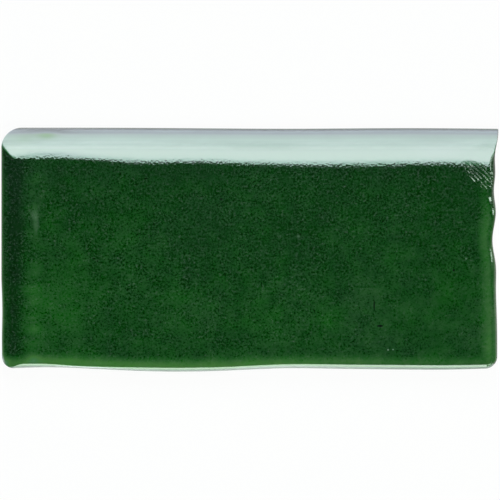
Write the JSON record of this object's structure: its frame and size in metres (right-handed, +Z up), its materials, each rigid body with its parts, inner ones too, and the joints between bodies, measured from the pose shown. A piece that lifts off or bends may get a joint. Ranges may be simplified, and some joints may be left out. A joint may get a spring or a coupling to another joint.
{
  "type": "bullnose tile",
  "caption": "Glazed ceramic bullnose trim tile: flat green face, one long edge rounded over as a nose, one end softened, shallow keying grooves in the back.",
  "frame": {"origin": "centre of the tile's outline, on the flat of its back, which lies on the floor", "axes": "+X along the length, from the softened end to the cut end; +Y towards the rounded nose; +Z up, out of the glazed face"},
  "size_m": [0.15, 0.0738, 0.0095],
  "materials": {
    "green_glaze": "gloss"
  },
  "bodies": {
    "root": {"bullnose_tile": "green_glaze"}
  },
  "joints": []
}
